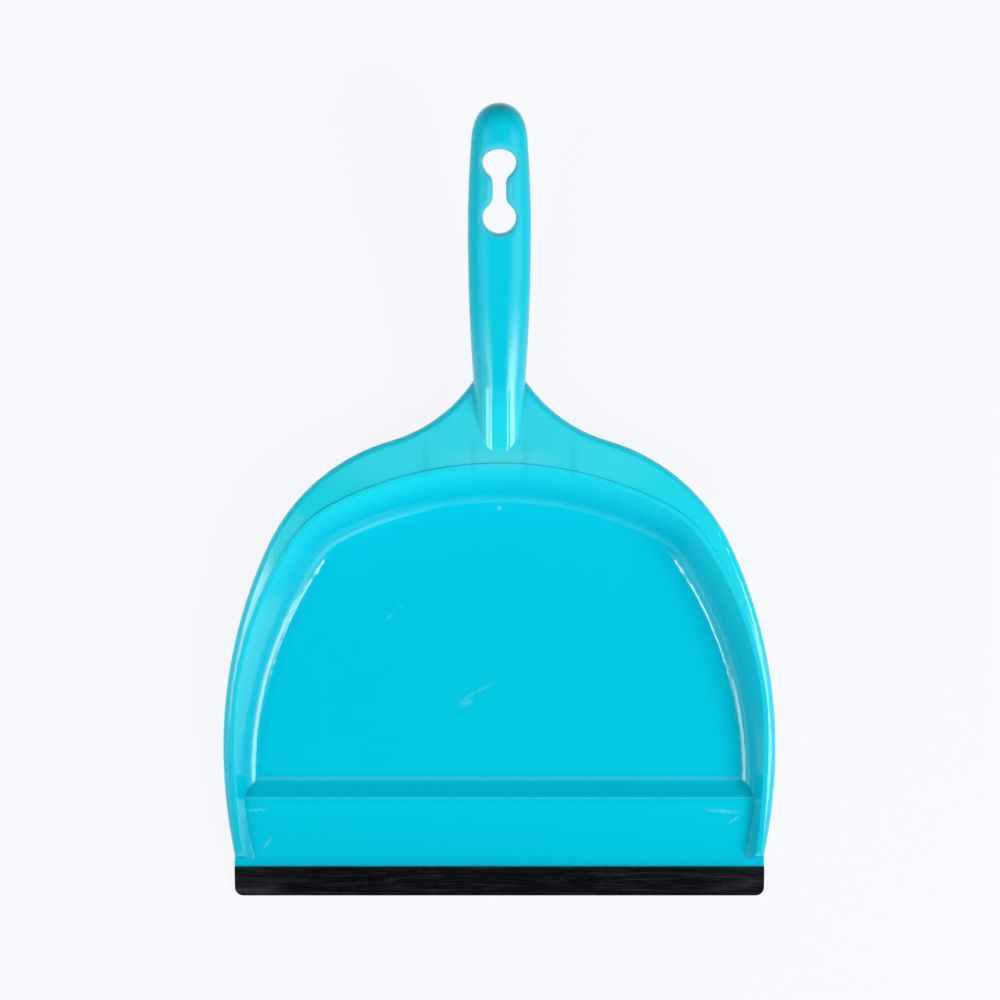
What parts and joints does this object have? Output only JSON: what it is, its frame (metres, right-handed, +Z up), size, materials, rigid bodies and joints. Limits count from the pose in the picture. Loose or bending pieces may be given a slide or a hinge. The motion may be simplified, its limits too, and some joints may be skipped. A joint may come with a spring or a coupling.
{
  "type": "dustpan",
  "caption": "Household dustpan: moulded shell with a curved bowl, sloping deck and rolled rim, hollow handle with a hanging hole, and a push-on rubber lip along the front edge.",
  "frame": {"origin": "middle of the footprint, on the surface the pan stands on", "axes": "+Z up, +Y from the front lip towards the handle, +X across the pan to the right as seen from the lip side towards the handle"},
  "size_m": [0.2278, 0.3237, 0.0583],
  "materials": {
    "pan_plastic": "glossy turquoise polypropylene",
    "lip_rubber": "satin black"
  },
  "bodies": {
    "root": {"pan": "pan_plastic", "rubber_lip": "lip_rubber"}
  },
  "joints": []
}
